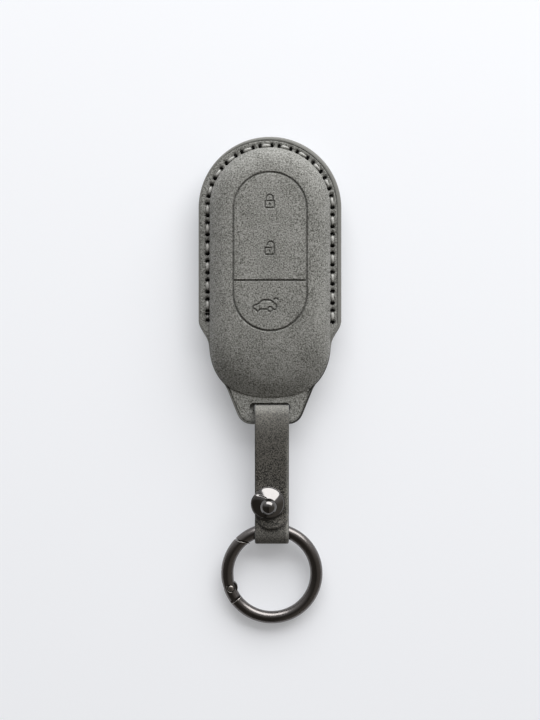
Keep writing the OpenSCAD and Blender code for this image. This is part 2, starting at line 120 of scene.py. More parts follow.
# %% Table
table_size = 60  # metres
lift_share = 0.26
bpy.ops.mesh.primitive_plane_add(size=table_size, location=(0, 0, -0.2 * mm))
table = bpy.context.object
table.name = "table"
paper, tree, shader = new_finish("matt_white_paper")
plug(shader, {"Base Color": linear("f5f7fb"), "Roughness": 0.9, "Specular IOR Level": 0.2})
shown_white = add_node(tree, "Emission", {"Color": linear("f8fafe"), "Strength": 1.0})
seen_by = add_node(tree, "LightPath")
direct_view = add_node(tree, "Math", {0: (seen_by, "Is Camera Ray"), 1: (seen_by, "Is Glossy Ray")},
                       operation="MAXIMUM")
lifted = add_node(tree, "Math", {0: (direct_view, "Value"), 1: lift_share}, operation="MULTIPLY")
sheet = add_node(tree, "MixShader", {0: (lifted, "Value"), 1: (shader, "BSDF"), 2: (shown_white, "Emission")})
plug(tree.nodes["Material Output"], {"Surface": (sheet, "Shader")})
table.data.materials.append(paper)
print("table", table_size, "m wide")

# %% Lamp and world
lamp_way, lamp_far = Vector((0.2, 0.8, 0.5)).normalized(), 1.35  # metres
lamp_w, lamp_h, lamp_watts = 2.0, 0.95, 32
bpy.ops.object.light_add(type="AREA", location=lamp_way * lamp_far)
window = bpy.context.object
window.name = "window_lamp"
window.data.shape = "RECTANGLE"
window.data.size, window.data.size_y = lamp_w, lamp_h
window.data.energy = lamp_watts
window.rotation_euler = lamp_way.to_track_quat("Z", "Y").to_euler()

world = bpy.data.worlds.new("studio")
scene = bpy.context.scene
scene.world = world
scene.view_settings.view_transform = "Standard"
world.use_nodes = True
tree = world.node_tree
facing = add_node(tree, "TexCoord")
split = add_node(tree, "SeparateXYZ", {"Vector": (facing, "Generated")})
to_back, to_right = (add_node(tree, "Math", {0: (split, axis), 1: 0.5, 2: 0.5}, operation="MULTIPLY_ADD")
                     for axis in "YX")
back_glow = add_node(tree, "ValToRGB", {"Fac": (to_back, "Value")}, [
    (0.0, (0.03, 0.027, 0.024, 1)), (0.42, (0.02, 0.018, 0.016, 1)), (0.5, (0.04, 0.036, 0.032, 1)),
    (0.66, (0.3, 0.3, 0.31, 1)), (1.0, (0.8, 0.81, 0.84, 1))])
side_glow = add_node(tree, "ValToRGB", {"Fac": (to_right, "Value")}, [
    (0.0, (0.08, 0.074, 0.065, 1)), (0.42, (0.06, 0.055, 0.047, 1)), (0.5, (0.0, 0.0, 0.0, 1)),
    (0.57, (0.16, 0.148, 0.13, 1)), (1.0, (0.26, 0.247, 0.225, 1))])
glow = add_node(tree, "Mix", {"Factor": 1.0, "A": (back_glow, "Color"), "B": (side_glow, "Color")}, data_type="RGBA",
                blend_type="ADD")
plug(tree.nodes["Background"], {"Color": (glow, "Result")})
print("lamp", lamp_watts, "W,", lamp_far, "m away")

# %% [markdown]
# ## The cover's outline
# Both halves of the cover share one outline. Every ring of their mesh is the same outline at another half width,
# so one list holds, for each point round the cover, the spine point it starts from, the way it leaves the spine,
# and where the cut edge of the leather is in that direction. The lower end is fuller than a circle, and below the
# seam the margin steps in and becomes the tab.

# %% Outline of the cover
spine_half = 20.8
bulge_r = 19.4
margin_r = 23.0
leather_t = 1.6
seam_z = 6.1
margin_top = 7.7
margin_bottom = 4.5
full_power = 2.5
step_top = -15.7
step_l = 7.6
low_margin = 0.3
tab_end = -48.85
tab_root = 14.3
tab_tip = 9.2
tab_corner = 4.8
slot_y = -43.35
end_start = radians(8)
round_rows, side_rows, low_rows = 104, 122, 142


def run_along(points):
    """How far along a line each of its points is."""
    return np.concatenate([[0], np.cumsum(np.linalg.norm(np.diff(points, axis=0), axis=1))])


def evenly(points, count, run=None):
    """Points at even distances along a line, or at even steps of another line's run."""
    points = np.asarray(points, float)
    run = run_along(points) if run is None else run
    want = np.linspace(0, run[-1], count + 1)
    return np.stack([np.interp(want, run, points[:, k]) for k in range(points.shape[1])], axis=1)


def at_run(s, run, line):
    """The first two numbers of a line's points, s along its run."""
    return np.interp(s, run, line[:, 0]), np.interp(s, run, line[:, 1])


def headings(line):
    """The way that a line runs at each of its points."""
    ways = np.gradient(line, axis=0)
    return ways / np.linalg.norm(ways, axis=1)[:, None]


def smoothed(line, times):
    """Draws each inner point of a line towards its neighbours."""
    for turn in range(times):
        line[1:-1] = (line[:-2] + 2 * line[1:-1] + line[2:]) / 4
    return line


def ease(t):
    return t * t * (3 - 2 * t)


def end_way(angle):
    """Way out of the spine's lower end: a power curve, fuller than a circle."""
    return cos(angle) ** (2 / full_power), -sin(angle) ** (2 / full_power)


def tab_side():
    """Right hand cut edge below the seam: the step, the end of the bulge, the tab's flank and its round corner."""
    line = [(margin_r - (margin_r - bulge_r - low_margin) * ease(i / 20), step_top - step_l * i / 20)
            for i in range(21)]
    r = bulge_r + low_margin
    root = acos((tab_root / r) ** (full_power / 2))
    for i in range(1, 31):
        way = end_way(end_start + (root - end_start) * i / 30)
        line.append((r * way[0], -spine_half + r * way[1]))
    flank = atan2(line[-1][1] - tab_end, tab_root - tab_tip)
    centre = (tab_tip - tab_corner * tan(flank / 2), tab_end + tab_corner)
    for i in range(25):
        a = flank - pi / 2 - flank * i / 24
        line.append((centre[0] + tab_corner * cos(a), centre[1] + tab_corner * sin(a)))
    return line + [(0, tab_end)]


rows = []
for i in range(round_rows):
    a = radians(90 - 90 * i / round_rows)
    way = (cos(a), sin(a))
    rows.append((0, spine_half, *way, margin_r * way[0], spine_half + margin_r * way[1]))
for i in range(side_rows):
    y = spine_half + (step_top - spine_half) * i / side_rows
    rows.append((0, y, 1, 0, margin_r, y))
lower = [(0, step_top + (-spine_half - step_top) * i / 20, 1, 0) for i in range(20)]
lower = np.array(lower + [(0, -spine_half, *end_way(pi / 2 * i / 300)) for i in range(301)])
lower = evenly(lower, low_rows, run_along(lower[:, :2] + bulge_r * lower[:, 2:]))
edge = smoothed(evenly(tab_side(), low_rows), 10)
rows = np.concatenate([np.array(rows), np.concatenate([lower, edge], axis=1)])
mirrored = rows[-2:0:-1] * np.array([-1, 1, -1, 1, -1, 1])
rows = np.concatenate([rows, mirrored])
spine, way_out, cut_edge = rows[:, :2], rows[:, 2:4], rows[:, 4:]
along = np.roll(cut_edge, -1, axis=0) - np.roll(cut_edge, 1, axis=0)
edge_normal = np.stack([-along[:, 1], along[:, 0]], axis=1) / np.linalg.norm(along, axis=1)[:, None]
foot = spine + bulge_r * way_out
room = np.linalg.norm(cut_edge - foot, axis=1)
foot_way = (cut_edge - foot) / room[:, None]
print(len(rows), "points round the cover, least margin", round(room.min(), 2), "mm")

# %% [markdown]
# ## The seam
# The stitches run on a line just outside the foot of the bulge. One distance, counted clockwise from the top, names
# every place on it, so that holes, dents and thread agree.

# %% Stitch line
stitch_r = 20.1
quarter = stitch_r * pi / 2
left_stop, right_stop = 8.4, 4.8
seam_left = left_stop - quarter - 2 * spine_half
seam_right = quarter + 2 * spine_half - right_stop
stitches = 22
stitch_l = 3.8
lock_gap = 0.9
lock_l = 2.1
step = (seam_right - seam_left - stitch_l) / (stitches - 1)


def seam_point(s):
    """Place on the stitch line, s millimetres from the top, and the way along it."""
    side = -1 if s < 0 else 1
    a = pi / 2 - min(abs(s), quarter) / stitch_r
    place = np.array([side * stitch_r * cos(a), spine_half + stitch_r * sin(a) - max(abs(s) - quarter, 0)])
    return place, np.array([sin(a), -side * cos(a)]) if abs(s) < quarter else np.array([0.0, -side])


stitch_ends = [(seam_left - lock_gap - lock_l, seam_left - lock_gap)]
stitch_ends += [(seam_left + i * step, seam_left + i * step + stitch_l) for i in range(stitches)]
holes = [seam_point(s) for ends in stitch_ends for s in ends]
print(len(stitch_ends), "stitches,", round(step, 2), "mm apart")

# %% [markdown]
# ## The pressed marks
# The buttons' outline and the three signs are pressed into the face with a heated tool, which leaves soft grooves.
# Each is a list of strokes, and the mesh is pushed down near them and darkened there: partly the hot tool's own
# mark, partly painted shade in the groove.

# %% Strokes of the marks
outline_r = 11.9
outline_l = 50.7
outline_up = 6.2
divider_y = -3.0
groove_w = 0.5
sign_line = 0.36
line_r = outline_r - groove_w / 2
bend = outline_l / 2 - outline_r


def bow(centre, r, start, end, count):
    """Points of an arc from one angle to another."""
    return [(centre[0] + r * cos(start + (end - start) * i / count),
             centre[1] + r * sin(start + (end - start) * i / count)) for i in range(count + 1)]


def shifted(shares, place, w=1, h=1):
    return [(place[0] + x * w, place[1] + y * h) for x, y in shares]


stadium = bow((0, outline_up + bend), line_r, pi, 0, 60) + bow((0, outline_up - bend), line_r, 0, -pi, 60)
outline_strokes = [stadium + stadium[:1], [(-line_r, divider_y), (line_r, divider_y)]]

lock_w, lock_h, shackle_w, shackle_h, shackle_shift = 3.35, 2.5, 2.5, 2.0, 0.3
shackle_r = (shackle_w - sign_line) / 2
crown = lock_h / 2 + shackle_h - shackle_w / 2
body_w, body_h = lock_w - sign_line, lock_h - sign_line
lock_shares = [(-0.46, 0.5), (-0.5, -0.3), (-0.44, -0.5), (0.44, -0.5), (0.5, -0.3), (0.46, 0.5), (-0.46, 0.5)]
open_lock_shares = [(0.2, 0.5), (-0.48, 0.5), (-0.5, -0.3), (-0.44, -0.5), (0.44, -0.5), (0.5, -0.3), (0.46, 0.1)]
car_shares = [(0.364, -0.273), (0.409, -0.349), (0.477, -0.257), (0.499, -0.076), (0.477, 0.095), (0.401, 0.205),
              (0.347, 0.335), (0.271, 0.446), (0.111, 0.497), (-0.029, 0.497), (-0.125, 0.446), (-0.201, 0.292),
              (-0.244, 0.181), (-0.353, 0.095), (-0.437, 0.051), (-0.493, -0.06), (-0.497, -0.146),
              (-0.459, -0.257), (-0.408, -0.265), (-0.361, -0.384), (-0.303, -0.495), (-0.256, -0.427),
              (-0.215, -0.289), (0.111, -0.297)]
lid_shares = [(0.389, 0.538), (0.431, 0.632), (0.481, 0.651), (0.528, 0.608), (0.549, 0.557)]
slit = [(0, -0.25), (0, 0.25)]
lock_at, open_at, car_at = (-0.1, 21.05), (-0.1, 6.25), (-1.65, -11.05)
car_w, car_h, wheel_r = 7.5, 3.7, 0.77
wheel_at = (car_at[0] + 0.224 * car_w, car_at[1] - 0.289 * car_h)
sign_strokes = [
    shifted(lock_shares, lock_at, body_w, body_h),
    shifted([(-shackle_r, lock_h / 2)] + bow((0, crown), shackle_r, pi, 0, 12) + [(shackle_r, lock_h / 2)], lock_at),
    shifted(slit, lock_at),
    shifted(open_lock_shares, open_at, body_w, body_h),
    shifted(bow((shackle_shift, crown), shackle_r, pi, 0, 12) + [(body_w / 2, 0)], open_at),
    shifted(slit, open_at),
    shifted(car_shares, car_at, car_w, car_h),
    shifted(lid_shares, car_at, car_w, car_h),
    bow(wheel_at, wheel_r, 0, 2 * pi, 16),
]
print(len(outline_strokes) + len(sign_strokes), "strokes")


def stroke_distance(places, strokes):
    """Distance of each place to the nearest of the strokes."""
    nearest = np.full(len(places), 1e9)
    for line in strokes:
        for a, b in zip(np.array(line[:-1]), np.array(line[1:])):
            leg = b - a
            t = np.clip(((places - a) @ leg) / (leg @ leg), 0, 1)
            nearest = np.minimum(nearest, np.linalg.norm(places - a - t[:, None] * leg, axis=1))
    return nearest


def soft_step(low, high, values):
    return ease(np.clip((values - low) / (high - low), 0, 1))

# %% [markdown]
# ## Wrapping a sheet
# A shell, a strap and a thread are all a sheet wrapped round: rows of points, one row after the other, closed round.
# A flat grid is added with as many rows, its points are put on the shape, and the two edges that meet are merged.

# %% Wrap a grid round a shape
def wrap(name, rings):
    """A closed skin through rings of points, in millimetres. Each ring has the same number of points."""
    rings = np.asarray(rings, float)
    count, around = rings.shape[:2]
    bpy.ops.mesh.primitive_grid_add(x_subdivisions=around, y_subdivisions=count - 1, size=2)
    piece = bpy.context.object
    piece.name = name
    mesh = piece.data
    flat = np.zeros(len(mesh.vertices) * 3)
    mesh.vertices.foreach_get("co", flat)
    flat = flat.reshape(-1, 3)
    across = np.rint((flat[:, 0] + 1) / 2 * around).astype(int) % around
    down = np.rint((flat[:, 1] + 1) / 2 * (count - 1)).astype(int)
    mesh.vertices.foreach_set("co", (rings[down, across] * mm).ravel())
    mesh.update()
    bpy.ops.object.mode_set(mode="EDIT")
    bpy.ops.mesh.select_all(action="SELECT")
    bpy.ops.mesh.remove_doubles(threshold=2e-7)
    bpy.ops.mesh.select_all(action="DESELECT")
    bpy.ops.mesh.select_mode(type="EDGE")
    bpy.ops.mesh.select_non_manifold(extend=False, use_wire=False, use_multi_face=False,
                                     use_non_contiguous=False, use_verts=False)
    bpy.ops.mesh.edge_face_add()
    bpy.ops.mesh.select_mode(type="VERT")
    bpy.ops.mesh.select_all(action="SELECT")
    bpy.ops.mesh.normals_make_consistent(inside=False)
    bpy.ops.mesh.select_all(action="DESELECT")
    bpy.ops.object.mode_set(mode="OBJECT")
    bpy.ops.object.shade_smooth()
    return piece


def tell(*pieces):
    for piece in pieces:
        print(piece.name, len(piece.data.polygons), "faces")


def get_points(piece):
    flat = np.zeros(len(piece.data.vertices) * 3)
    piece.data.vertices.foreach_get("co", flat)
    return flat.reshape(-1, 3) / mm


def set_points(piece, places):
    piece.data.vertices.foreach_set("co", (places * mm).ravel())
    piece.data.update()


def paint(piece, name, values):
    """Keeps one number for each point, which the finish reads."""
    layer = piece.data.attributes.new(name, "FLOAT", "POINT")
    layer.data.foreach_set("value", np.asarray(values, np.float32))

# %% [markdown]
# ## The two halves of the cover
# Each half is one wet-moulded piece of nubuck, 1.6 mm thick. Its rings run from the middle of the hollow side, out
# under the margin, round the cut edge, back over the margin and up the bulge to the middle of its face. The cut edge
# was bevelled and burnished: on the right and at the round end the bevel is wide and shows from above.

# %% Rings of a half
front_h, front_round = 7.5, 6.6
back_h, back_round = 4.5, 4.4
edge_power = 2.2
bevel_w, wide_bevel_w = 0.35, 0.85
bevel_fall, wide_bevel_fall = 0.4, 0.35
beside_bevel = 0.5
edge_weight = np.clip(0.35 + edge_normal @ np.array([0.62, 0.45]), 0, 1)
edge_weight[cut_edge[:, 1] < step_top - 1] *= 0.35
snug = np.minimum(1, room / 2.4)
side_drop = 2.1
end_drop = 0.0032
drop_start, drop_l = -3.0, 36


def crowned(rings, height, foot_level):
    """Sinks the face gently towards its sides and its lower end, as moulded leather does when it dries."""
    side = np.linalg.norm(rings[:, :, :2] - spine, axis=2) / bulge_r
    lower = np.clip(drop_start - rings[:, :, 1], 0, drop_l)
    share = np.clip((rings[:, :, 2] - foot_level) / height, 0, 1)
    rings[:, :, 2] -= share * height / front_h * (side_drop * np.minimum(side, 1) ** 3 + end_drop * lower ** 2)
    return rings


def moulded(a):
    """Shares across and up at an angle of the bulge's rounded edge, which is a little fuller than a circle."""
    return cos(a) ** (2 / edge_power), sin(a) ** (2 / edge_power)


def half_rings(height, rounded, bevel_side):
    """Rings of one half. Each point is x, y and the height over the plane of the seam."""
    rings = []

    def at(flat, h):
        rings.append(np.column_stack([flat, np.zeros(len(spine)) + h]))

    def at_width(r, h):
        at(spine + r * way_out, h)

    def at_edge(inset, h):
        at(cut_edge - (inset * snug)[:, None] * edge_normal, h)

    inner_r, inner_round = bulge_r - leather_t, rounded - leather_t
    for r in np.linspace(0, inner_r - inner_round, 3):
        at_width(r, height)
    for a in np.linspace(pi / 2, 0, 6)[1:]:
        across, up = moulded(a)
        at_width(inner_r - inner_round * (1 - across), height * up)
    hollow_rings = len(rings)
    for share in (0.15, 0.6):
        at(foot * (1 - share) + cut_edge * share, 0)
    for inset, up in ((0.2, 0), (0.05, 0.05), (0.0, 0.2)):
        at_edge(inset, up)
    bevel = bevel_w + wide_bevel_w * edge_weight * bevel_side
    fall = bevel_fall + wide_bevel_fall * edge_weight * bevel_side
    for a in np.linspace(0, pi / 2, 8):
        at_edge(bevel * (1 - cos(a)), leather_t - fall * (1 - sin(a)))
    for inset, dip in ((0.12, 0.1), (0.25, 0.2), (0.38, 0.12), (beside_bevel, 0.0)):
        at_edge(bevel + inset, leather_t - dip * (0.25 + 0.75 * edge_weight))
    outer = cut_edge - ((bevel + beside_bevel) * snug)[:, None] * edge_normal
    near = foot + (0.42 * snug)[:, None] * foot_way
    for t in np.linspace(0, 1, 13)[1:]:
        at(outer * (1 - t) + near * t, leather_t)
    flat_rings = len(rings)
    for gap, up in ((0.24, 0.04), (0.11, 0.13), (0.04, 0.28), (0.01, 0.5)):
        at(foot + (gap * snug)[:, None] * foot_way, leather_t + up)
    for a in np.linspace(asin((0.8 / height) ** (edge_power / 2)), pi / 2, 19):
        across, up = moulded(a)
        at_width(bulge_r - rounded * (1 - across), leather_t + height * up)
    for r in np.linspace(bulge_r - rounded, 0, 38)[1:]:
        at_width(r, leather_t + height)
    rings = np.array(rings)
    return np.concatenate([crowned(rings[:hollow_rings], height, 0), rings[hollow_rings:flat_rings],
                           crowned(rings[flat_rings:], height, leather_t)])


front_rings = half_rings(front_h, front_round, 1.0)
back_rings = half_rings(back_h, back_round, 0.0)
print("front", front_rings.shape, "back", back_rings.shape)

# %% Dents and grooves
hole_pull, hole_reach = 0.62, 0.8
line_pull, line_reach = 0.22, 0.55
outline_depth, sign_depth = 0.42, 0.3


def stitch_pull(places):
    """How far the thread pulls the margin in at each place: a trough along each stitch, deeper at its holes."""
    pull = np.zeros(len(places))
    for hole, way in holes:
        gap = np.linalg.norm(places - hole, axis=1)
        pull = np.maximum(pull, hole_pull * np.exp(-(gap / hole_reach) ** 2))
    for a, b in stitch_ends:
        line = [[seam_point(a + (b - a) * i / 6)[0] for i in range(7)]]
        pull = np.maximum(pull, line_pull * np.exp(-(stroke_distance(places, line) / line_reach) ** 2))
    return pull


def mark_depth(places):
    """How far each place lies in a mark, from 0 to 1, and how deep in millimetres. The share darkens the groove: partly
    the hot tool's mark, partly painted shade.
    """
    broad = 1 - soft_step(0.1, 0.46, stroke_distance(places, outline_strokes))
    fine = 1 - soft_step(0.08, 0.36, stroke_distance(places, sign_strokes))
    return np.maximum(broad, fine), np.maximum(outline_depth * broad, sign_depth * fine)


def painted_edge_shade(places, inset, width):
    """Painted shade: dark in the crease beside the bevel, and along the tab's cut edge on the right and a little in
    from it on the left.
    """
    crease = np.exp(-((inset - width - 0.27) / 0.16) ** 2) * np.clip((width - 0.1) / 0.8, 0.55, 1)
    low = np.clip((-24 - places[:, 1]) / 5, 0, 1)
    shaded_side = np.clip(0.5 + places[:, 0] / 6, 0, 1)
    rim = low * ((1 - soft_step(0.5, 0.75, inset)) * shaded_side
                 + np.exp(-((inset - 0.66) / 0.2) ** 2) * (1 - shaded_side))
    return np.maximum(crease, 1.6 * rim)


def uneven(places, size, seed):
    """Soft unevenness between -1 and 1, with hollows of about this size."""
    return np.array([noise.noise(Vector((x / size + seed, y / size, z / size))) for x, y, z in places])


print(len(holes), "dents,", hole_pull, "mm deep")

# %% Wrap the two halves
face_up = 4.6
low_face_z = margin_top + face_up
wave_h, wave_l = 0.05, 9
darkest_pull = 0.45


def finer_marks(half):
    """Divides the faces near the pressed marks, and the signs' finer than the outline's."""
    only(half)
    bpy.ops.object.mode_set(mode="EDIT")
    bpy.ops.mesh.select_mode(type="FACE")
    for strokes, near, cuts in ((outline_strokes, 0.6, 1), (sign_strokes, 0.5, 2)):
        bpy.ops.mesh.select_all(action="DESELECT")
        shape = bmesh.from_edit_mesh(half.data)
        faces = [f for f in shape.faces if f.normal.z > 0.9 and f.calc_center_median().z > low_face_z * mm]
        middles = np.array([f.calc_center_median().xy for f in faces]) / mm
        for f, gap in zip(faces, stroke_distance(middles, strokes)):
            f.select = bool(gap < near)
        bmesh.update_edit_mesh(half.data)
        bpy.ops.mesh.subdivide(number_cuts=cuts)
    bpy.ops.mesh.select_all(action="DESELECT")
    bpy.ops.mesh.select_mode(type="VERT")
    bpy.ops.object.mode_set(mode="OBJECT")


def make_half(name, rings, up, marked):
    """One half of the cover. up is 1 for the front and -1 for the back."""
    rings = rings.copy()
    rings[:, :, 2] = seam_z + up * rings[:, :, 2]
    half = wrap(name, rings)
    if marked:
        finer_marks(half)
    places = get_points(half)
    level = (places[:, 2] - seam_z) * up
    outside = level > leather_t - 0.9
    pressed = np.zeros(len(places))
    if marked:
        face = level > leather_t + face_up
        # The marks are darkened as well as sunk: partly the hot tool's own mark, partly painted shade in the groove.
        pressed[face], depth = mark_depth(places[face, :2])
        places[face, 2] -= up * depth
    margin = np.abs(level - leather_t) < 0.14
    pull = stitch_pull(places[margin, :2])
    places[margin, 2] -= up * pull
    # Painted shade: the margin darkens in the thread's trough and round its holes, as far as it is pulled in.
    pressed[margin] = np.clip(pull / darkest_pull, 0, 1)
    wavy = outside & (np.abs(level - leather_t) > 0.001)
    places[wavy, 2] += up * wave_h * uneven(places[wavy], wave_l, 3 + up)
    set_points(half, places)

    near_edge = np.abs(level) < leather_t + 0.1
    flat = places[near_edge, :2]
    inset = np.full(len(places), 9.0)
    inset[near_edge] = stroke_distance(flat, [[*cut_edge, cut_edge[0]]])
    nearest = np.argmin(np.linalg.norm(cut_edge[None, :, :] - flat[:, None, :], axis=2), axis=1)
    width = np.full(len(places), bevel_w)
    width[near_edge] = 0.3 + wide_bevel_w * edge_weight[nearest] * marked
    paint(half, "burnished", 1 - soft_step(0.0, 0.22, inset - width))
    if marked:
        # Painted shade on the crease beside the bevel and on the tab's cut edge.
        edge_points = near_edge & outside
        pressed[edge_points] = np.maximum(pressed, painted_edge_shade(places, inset, width))[edge_points]
    paint(half, "pressed", pressed)
    return half


front_shell = make_half("front_shell_leather", front_rings, 1, True)
back_shell = make_half("back_shell_leather", back_rings, -1, False)
tell(front_shell, back_shell)

# %% [markdown]
# ## Holes and slots
# The awl is pushed in from the front and its blade is flat, so each hole is wider at the front, where the thread has
# pulled it open, and close round the thread at the back. The slots are punched. The back one sits nearer to the strap,
# so no light comes through above it, and its upper wall leans back to leave the strap room to swing.

# %% Cut the holes and the slots
slot_w, slot_h = 13.2, 2.9
front_slot = dict(place=(0, slot_y), r=slot_h / 2, long=slot_w - slot_h)
back_slot = dict(place=(0.6, slot_y - 0.36), r=0.45, long=10.34, tall=1.28, lean=0.28)
front_hole, back_hole = dict(r=0.62, stretch=1.35), dict(r=0.46)


def add_rod(place, r, stretch=1.0, turn=0.0, long=0.0, tall=0.0, lean=0.0):
    """A rod through the leather. long and tall pull its quarters apart, and lean tips its upper wall out."""
    bpy.ops.mesh.primitive_cylinder_add(vertices=64 if long else 20, radius=r * mm, depth=8 * mm,
                                        location=(0, 0, seam_z * mm), scale=(1, stretch, 1))
    rod = bpy.context.object
    bpy.ops.object.transform_apply(location=False)
    for v in rod.data.vertices:
        right, above = (0 if abs(c) < 1e-6 else 1 if c > 0 else -1 for c in v.co.xy)
        v.co.x += long / 2 * mm * right
        v.co.y += tall / 2 * mm * above - lean * v.co.z * (above > 0)
    rod.rotation_euler.z = turn
    rod.location.xy = place[0] * mm, place[1] * mm
    return rod


def cut_out(piece, tool, sharp):
    """Cuts a tool's shape out of a piece. Edges over so many degrees stay sharp."""
    only(piece)
    cut = piece.modifiers.new("cut", "BOOLEAN")
    cut.object = tool
    cut.operation = "DIFFERENCE"
    cut.solver = "MANIFOLD"
    bpy.ops.object.modifier_apply(modifier=cut.name)
    bpy.ops.object.shade_smooth_by_angle(angle=radians(sharp))
    bpy.data.objects.remove(tool)
    tell(piece)


for half, slot, hole in ((front_shell, front_slot, front_hole), (back_shell, back_slot, back_hole)):
    rods = [add_rod(**slot)]
    rods += [add_rod(place, turn=atan2(way[1], way[0]), **hole) for place, way in holes]
    only(rods[0])
    for rod in rods:
        rod.select_set(True)
    bpy.ops.object.join()
    cut_out(half, bpy.context.object, 45)

# %% [markdown]
# ## The linings
# Thin microfibre is glued inside each half. It shows only through the mouth between the tabs.

# %% Linings
lining_t, glue_t = 0.5, 0.05


def lining_rings(height, rounded):
    """Rings of a lining: its inner side from the middle out, and its glued side back."""
    rings = []
    outer_r, outer_round, high = bulge_r - leather_t - glue_t, rounded - leather_t - glue_t, height - glue_t
    for thin, order in ((lining_t, 1), (0.0, -1)):
        ring = [(r, high - thin) for r in np.linspace(0, outer_r - outer_round, 5)]
        for a in np.linspace(pi / 2, 0, 10)[1:]:
            across, up = moulded(a)
            ring.append((outer_r - thin - (outer_round - thin) * (1 - across), (high - thin) * up))
        rings += ring[::order]
    rings = np.array([np.column_stack([spine + r * way_out, np.full(len(spine), h)]) for r, h in rings])
    return crowned(rings, height, 0)[:, ::4]


linings = []
for name, size, up in (("front_lining_cloth", (front_h, front_round), 1),
                       ("back_lining_cloth", (back_h, back_round), -1)):
    rings = lining_rings(*size)
    rings[:, :, 2] = seam_z + up * rings[:, :, 2]
    linings.append(wrap(name, rings))
tell(*linings)

# %% [markdown]
# ## The thread
# One waxed thread runs in and out of the holes: over the front for a stitch, down, along the back and up again. It is
# laid from three plies, so its section is a rounded clover that turns as it goes.

# %% Thread
def tube(name, line, r, sides=12, plies=3, lay=2.4, clover=0.1):
    """A tube along a line. Its section has one lobe for each ply and turns once in each lay's length."""
    line = np.asarray(line, float)
    r = np.broadcast_to(r, len(line))
    heading = headings(line)
    side = np.cross(heading[0], (0.3, 0.2, 1.0))
    side /= np.linalg.norm(side)
    rings, gone = [], 0.0
    for i, place in enumerate(line):
        side = side - heading[i] * (side @ heading[i])
        side /= np.linalg.norm(side)
        up = np.cross(heading[i], side)
        if i:
            gone += np.linalg.norm(place - line[i - 1])
        ring = []
        for k in range(sides):
            a = 2 * pi * k / sides
            wide = r[i] * (1 + clover * cos(plies * (a - 2 * pi * gone / lay / plies)))
            ring.append(place + wide * (cos(a) * side + sin(a) * up))
        rings.append(ring)
    return wrap(name, rings)


def bead(name, line, r):
    """A fine round bead along a line."""
    return tube(name, line, r, sides=10, plies=1, clover=0.0)


thread_r = 0.46
over_front = margin_top + thread_r * 0.5 - 0.15
under_back = margin_bottom - thread_r * 0.6 + 0.15


def between_holes(start, end, steps, bend_l, level, sink):
    """The thread from one hole to the next: level, and sunk into the leather over bend_l at each end."""
    line = []
    for i in range(steps + 1):
        share = 0.5 - 0.5 * cos(pi * i / steps)
        near_hole = max(0.0, 1 - min(share, 1 - share) * (end - start) / bend_l)
        line.append((*seam_point(start + (end - start) * share)[0], level - sink * near_hole ** 1.5))
    return line


thread_line = []
for (start, end), following in zip(stitch_ends, stitch_ends[1:] + [None]):
    thread_line += between_holes(start, end, 16, 1.4, over_front, 2.1)
    if following:
        thread_line += between_holes(end, following[0], 8, 0.9, under_back, -1.2)
thread_l = run_along(np.array(thread_line))[-1]
smooth_line = smoothed(evenly(thread_line, int(thread_l / 0.28)), 2)
thread = tube("waxed_thread", smooth_line, thread_r, sides=14, lay=3.2)
# Painted shade: the thread darkens where it runs inside the holes, between the front and back faces.
below = margin_top - get_points(thread)[:, 2]
paint(thread, "deep", soft_step(-0.25, 0.35, np.minimum(below, margin_top - margin_bottom - below)))
print("thread", round(thread_l), "mm long")
tell(thread)

# %% [markdown]
# ## The strap
# One strip of leather runs from its round tongue over the loop, up to the slots, through both tabs, down behind,
# round the ring and back up between its own runs. Its middle line is drawn from the side, as distance down from the
# cover's middle and height, and a section with burnished, nearly round edges is wrapped along it.

# %% Middle line of the strap
strap_x, strap_w, strap_t = 0.6, 11.0, 1.3
ply = strap_t + 0.05
bend_r = 2.2
bend_y = slot_y - bend_r
stud_x, stud_y = -0.5, -74.95
stack_y = stud_y + 5
back_z, return_z, tongue_z = 3.8, 3.8 + ply, 3.8 + 2 * ply
loop_y, loop_z, loop_mid_r = -83.75, 4.0425, 3.3925
climb_angle, drop_angle, climb_r, drop_r = radians(31), radians(41), 2.2, 2.0


def climb(out, level, to):
    r = loop_mid_r + out
    touch = (-loop_y - r * sin(climb_angle), loop_z + r * cos(climb_angle))
    start = touch[0] - (touch[1] - level) / tan(climb_angle) - (climb_r - out) * tan(climb_angle / 2)
    return (bow((start, level + climb_r - out), climb_r - out, -pi / 2, climb_angle - pi / 2, 8)
            + bow((-loop_y, loop_z), r, pi / 2 + climb_angle, pi / 2 + to, 12))


def drop(level):
    touch = (-loop_y - loop_mid_r * sin(drop_angle), loop_z - loop_mid_r * cos(drop_angle))
    start = touch[0] - (level - touch[1]) / tan(drop_angle) - drop_r * tan(drop_angle / 2)
    return (bow((start, level - drop_r), drop_r, pi / 2, pi / 2 - drop_angle, 8)
            + bow((-loop_y, loop_z), loop_mid_r, 1.5 * pi - drop_angle, 2.5 * pi, 40))


def eased_run(start, end):
    return [(start[0] + (end[0] - start[0]) * i / 14, start[1] + (end[1] - start[1]) * ease(i / 14))
            for i in range(1, 15)]


tongue_angle = asin(1.25 / (loop_mid_r + ply))
front_z, behind_z = margin_top + 0.4, margin_bottom - 0.4
front_run = (bow((-bend_y, front_z), bend_r, pi, pi / 2, 8)
             + eased_run((-bend_y, front_z + bend_r), (-stack_y, tongue_z))
             + climb(ply, tongue_z, tongue_angle))
back_run = (bow((-bend_y, behind_z), bend_r, pi, 1.5 * pi, 8)
            + eased_run((-bend_y, behind_z - bend_r), (-stack_y, back_z)) + drop(back_z))
return_run = [p for p in climb(0, return_z, 0)[::-1] if p[0] < -loop_y - 0.05] + [(-stack_y - 0.05, return_z)]
strap_line = np.array(front_run[::-1] + back_run + return_run)
strap_l = run_along(strap_line)[-1]
strap_line = evenly(strap_line, int(strap_l / 0.4))
print("strap", round(strap_l, 1), "mm long")

# %% Wrap the strap
half_w, half_t, corner = strap_w / 2, strap_t / 2 - 0.02, 0.55


